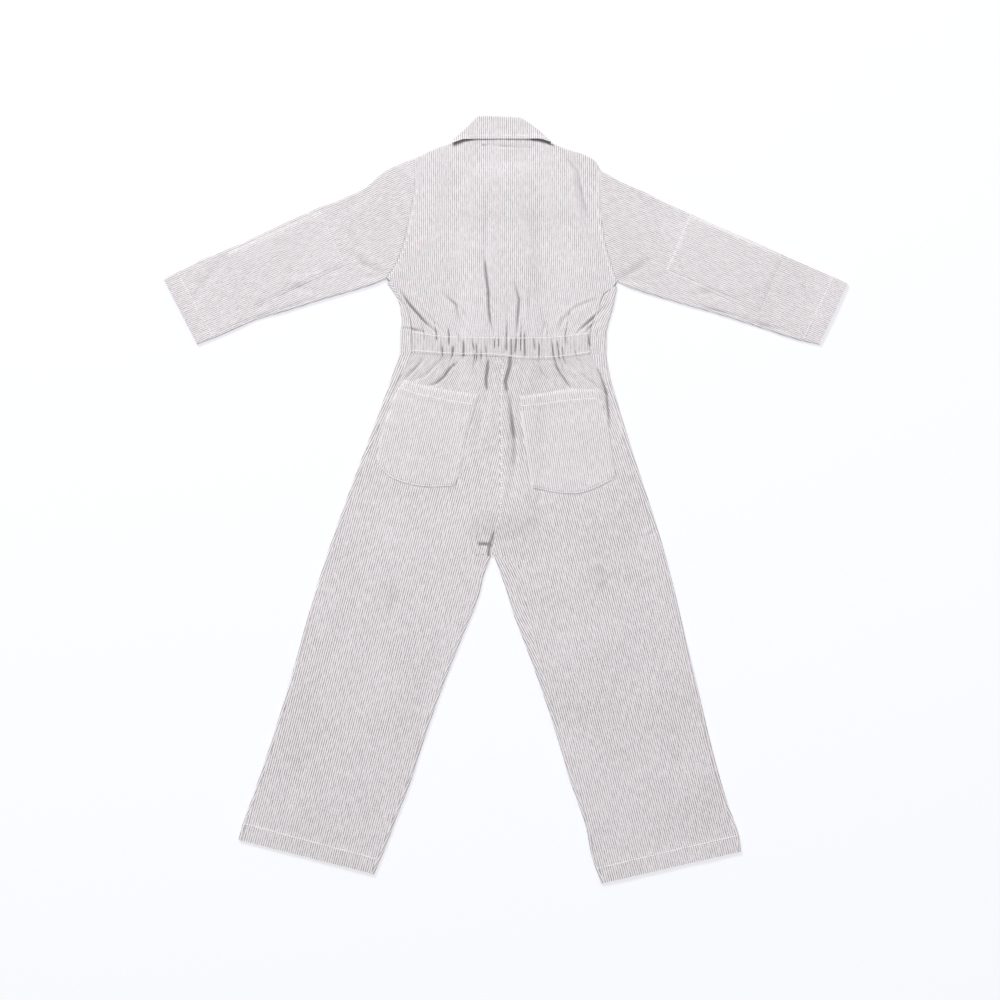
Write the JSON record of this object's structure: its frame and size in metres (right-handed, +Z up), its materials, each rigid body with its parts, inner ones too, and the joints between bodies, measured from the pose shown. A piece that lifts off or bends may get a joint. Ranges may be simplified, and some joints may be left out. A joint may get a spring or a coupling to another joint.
{
  "type": "child's coverall laid flat",
  "caption": "Long-sleeved striped workwear coverall laid flat on its front: turned-down collar, gathered elastic back waist, elbow patches, seat patch pockets, straight legs.",
  "frame": {"origin": "middle of the garment's width and length, on the surface that it lies on", "axes": "+X to the viewer's right in the picture, +Y up the garment from the hems to the collar, +Z up from the surface, out of the back of the garment"},
  "size_m": [0.958, 1.075, 0.0151],
  "materials": {
    "striped_cloth": "matt fine-striped cotton",
    "waistband_cloth": "matt fine-striped cotton, gathered",
    "button": "satin"
  },
  "bodies": {
    "root": {"back_bodice": "striped_cloth", "collar_back": "striped_cloth", "front_bodice_left": "striped_cloth", "front_bodice_right": "striped_cloth", "sleeve_left": "striped_cloth", "sleeve_right": "striped_cloth", "elbow_patch_left": "striped_cloth", "elbow_patch_right": "striped_cloth", "leg_front_left": "striped_cloth", "leg_front_right": "striped_cloth", "leg_back_left": "striped_cloth", "leg_back_right": "striped_cloth", "pocket_left": "striped_cloth", "pocket_right": "striped_cloth", "collar_front_left": "striped_cloth", "collar_front_right": "striped_cloth", "button_band": "striped_cloth", "waistband_back": "waistband_cloth", "waistband_front_left": "waistband_cloth", "waistband_front_right": "waistband_cloth", "button_1": "button", "button_2": "button", "button_3": "button", "button_4": "button", "button_5": "button", "button_6": "button", "button_7": "button"}
  },
  "joints": []
}
